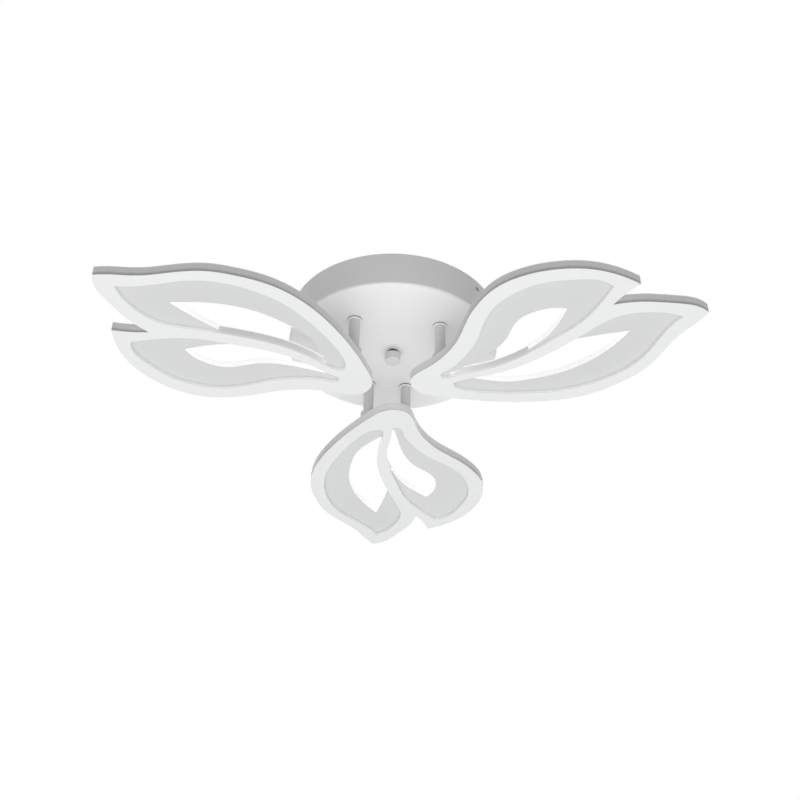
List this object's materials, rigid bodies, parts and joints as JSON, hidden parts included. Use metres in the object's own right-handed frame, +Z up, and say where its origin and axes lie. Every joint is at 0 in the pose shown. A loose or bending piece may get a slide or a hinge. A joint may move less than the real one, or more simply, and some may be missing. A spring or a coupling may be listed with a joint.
{
  "type": "led ceiling chandelier",
  "caption": "Flush ceiling light: a round white canopy with short rods that carry flat leaf-shaped light rings in opal acrylic, each with two openwork leaves.",
  "frame": {"origin": "centre of the mounting plate on the ceiling plane, on the canopy axis", "axes": "+Z up into the ceiling, +Y along the petal that points away from the viewer of the picture, +X to that viewer's right"},
  "size_m": [0.5145, 0.4791, 0.088],
  "materials": {
    "canopy_white": "white powder coat, satin",
    "cap_white": "white enamel, satin",
    "rod_white": "white powder coat, satin",
    "back_white": "white powder coat on sheet steel",
    "zinc_sheet": "galvanised sheet",
    "zinc_bright": "bright zinc plate",
    "screw_dark": "blackened steel",
    "brass_screw": "plain brass",
    "washer_black": "dark rubber",
    "opal_ring": "opal acrylic, laser cut",
    "frosted_plate": "frosted acrylic",
    "board_white": "white solder mask on aluminium",
    "led_yellow": "phosphor over a white package",
    "driver_white": "fine texture",
    "circuit_green": "solder mask",
    "component_dark": "moulded and sleeved parts",
    "connector_grey": "moulded",
    "lead_white": "vinyl sheath"
  },
  "bodies": {
    "ceiling_fixing": {"mounting_plate": "zinc_sheet", "centre_stud": "zinc_bright", "earth_washer": "zinc_bright", "earth_screw": "brass_screw"},
    "lamp": {"canopy_cover": "canopy_white", "cap_washer": "washer_black", "driver_circuit": "circuit_green", "driver_components": "component_dark", "driver_lower_case": "driver_white", "driver_upper_case": "driver_white", "input_lead": "lead_white", "left_back_plate": "back_white", "left_board_screws": "zinc_bright", "left_diffuser": "opal_ring", "left_lead": "lead_white", "left_led_board": "board_white", "left_leds": "led_yellow", "left_major_light_plate": "frosted_plate", "left_major_rod": "rod_white", "left_minor_light_plate": "frosted_plate", "left_minor_rod": "rod_white", "left_ring_screws": "zinc_bright", "left_rod_feet": "rod_white", "left_rod_nuts": "zinc_bright", "output_connector": "connector_grey", "output_lead": "lead_white", "rear_back_plate": "back_white", "rear_board_screws": "zinc_bright", "rear_diffuser": "opal_ring", "rear_lead": "lead_white", "rear_led_board": "board_white", "rear_leds": "led_yellow", "rear_major_light_plate": "frosted_plate", "rear_major_rod": "rod_white", "rear_minor_light_plate": "frosted_plate", "rear_minor_rod": "rod_white", "rear_ring_screws": "zinc_bright", "rear_rod_feet": "rod_white", "rear_rod_nuts": "zinc_bright", "right_back_plate": "back_white", "right_board_screws": "zinc_bright", "right_diffuser": "opal_ring", "right_lead": "lead_white", "right_led_board": "board_white", "right_leds": "led_yellow", "right_major_light_plate": "frosted_plate", "right_major_rod": "rod_white", "right_minor_light_plate": "frosted_plate", "right_minor_rod": "rod_white", "right_ring_screws": "zinc_bright", "right_rod_feet": "rod_white", "right_rod_nuts": "zinc_bright", "side_bushes": "zinc_bright", "side_screws": "screw_dark", "terminal_block": "connector_grey", "terminal_screws": "brass_screw", "wall_screw": "cap_white", "wall_screw_nut": "zinc_bright"},
    "cap": {"cap_nut": "cap_white"}
  },
  "joints": [
    {"name": "lamp_drop", "type": "slide", "parent": "ceiling_fixing", "child": "lamp", "axis": [0, 0, -1], "range_m": [0, 0.006]},
    {"name": "cap_nut_turn", "type": "hinge", "parent": "lamp", "child": "cap", "pos_m": [0, 0, -0.0435], "axis": [0, 0, -1], "range_deg": [0, 2162]}
  ],
  "couplings": [
    {"joint": "cap_nut_turn", "follows": "lamp_drop", "rad_per_m": 6283.2}
  ]
}
